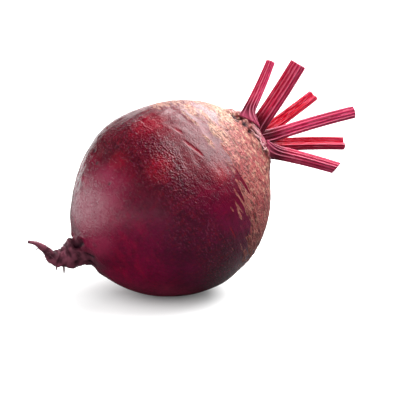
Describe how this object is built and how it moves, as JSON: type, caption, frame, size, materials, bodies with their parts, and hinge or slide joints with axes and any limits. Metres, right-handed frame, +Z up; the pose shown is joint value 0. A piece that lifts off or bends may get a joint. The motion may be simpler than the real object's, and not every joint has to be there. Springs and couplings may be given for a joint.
{
  "type": "beetroot",
  "caption": "Whole raw beetroot lying on its side: round swollen root with a corky crown, thin bent tap root and leaf stalks trimmed short.",
  "frame": {"origin": "middle of the small flat on the underside of the root, where it rests on a surface", "axes": "+Z up from the surface, +X from the tap root to the crown, +Y to the beetroot's left as seen looking along +X"},
  "size_m": [0.1568, 0.0871, 0.1014],
  "materials": {
    "beet_skin": "satin, finely pitted",
    "leaf_stalk": "satin, ribbed lengthwise"
  },
  "bodies": {
    "root": {"root": "beet_skin", "leaf_stalk_1": "leaf_stalk", "leaf_stalk_2": "leaf_stalk", "leaf_stalk_3": "leaf_stalk", "leaf_stalk_4": "leaf_stalk", "leaf_stalk_5": "leaf_stalk", "leaf_stalk_6": "leaf_stalk"}
  },
  "joints": []
}
